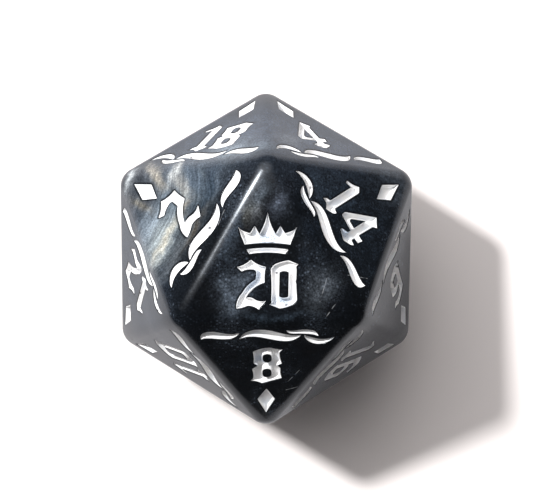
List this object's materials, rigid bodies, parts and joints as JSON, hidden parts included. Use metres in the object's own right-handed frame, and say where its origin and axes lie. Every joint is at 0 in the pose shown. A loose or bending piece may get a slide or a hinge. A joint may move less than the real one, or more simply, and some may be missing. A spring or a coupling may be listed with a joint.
{
  "type": "polyhedral die",
  "caption": "Gaming die shaped as a rounded icosahedron, with painted numerals, diamonds and ribbons engraved in its faces.",
  "frame": {"origin": "centre of the die", "axes": "+Z out of face 20, which is up; +Y towards the corner that face 20 shares with faces 2, 14, 18 and 4; +X to the right"},
  "size_m": [0.0222, 0.0252, 0.021],
  "materials": {
    "resin": "polished cast resin, black with drifts of silver-blue pearl",
    "enamel": "white enamel brushed into the engravings and wiped"
  },
  "bodies": {
    "root": {"die_body": "resin", "numeral_01_paint": "enamel", "numeral_02_paint": "enamel", "numeral_03_paint": "enamel", "numeral_04_paint": "enamel", "numeral_05_paint": "enamel", "numeral_06_paint": "enamel", "numeral_07_paint": "enamel", "numeral_08_paint": "enamel", "numeral_09_paint": "enamel", "numeral_10_paint": "enamel", "numeral_11_paint": "enamel", "numeral_12_paint": "enamel", "numeral_13_paint": "enamel", "numeral_14_paint": "enamel", "numeral_15_paint": "enamel", "numeral_16_paint": "enamel", "numeral_17_paint": "enamel", "numeral_18_paint": "enamel", "numeral_19_paint": "enamel", "numeral_20_paint": "enamel", "ribbon_01_paint": "enamel", "ribbon_02_paint": "enamel", "ribbon_03_paint": "enamel", "ribbon_04_paint": "enamel", "ribbon_05_paint": "enamel", "ribbon_06_paint": "enamel", "ribbon_07_paint": "enamel", "ribbon_08_paint": "enamel", "ribbon_09_paint": "enamel", "ribbon_10_paint": "enamel", "ribbon_11_paint": "enamel", "ribbon_12_paint": "enamel", "ribbon_13_paint": "enamel", "ribbon_14_paint": "enamel", "ribbon_15_paint": "enamel", "ribbon_16_paint": "enamel", "ribbon_17_paint": "enamel", "ribbon_18_paint": "enamel", "ribbon_19_paint": "enamel", "diamond_01_paint": "enamel", "diamond_02_paint": "enamel", "diamond_03_paint": "enamel", "diamond_04_paint": "enamel", "diamond_05_paint": "enamel", "diamond_06_paint": "enamel", "diamond_07_paint": "enamel", "diamond_08_paint": "enamel", "diamond_09_paint": "enamel", "diamond_10_paint": "enamel", "diamond_11_paint": "enamel", "diamond_12_paint": "enamel", "diamond_13_paint": "enamel", "diamond_14_paint": "enamel", "diamond_15_paint": "enamel", "diamond_16_paint": "enamel", "diamond_17_paint": "enamel", "diamond_18_paint": "enamel", "diamond_19_paint": "enamel", "crown_20_paint": "enamel"}
  },
  "joints": []
}
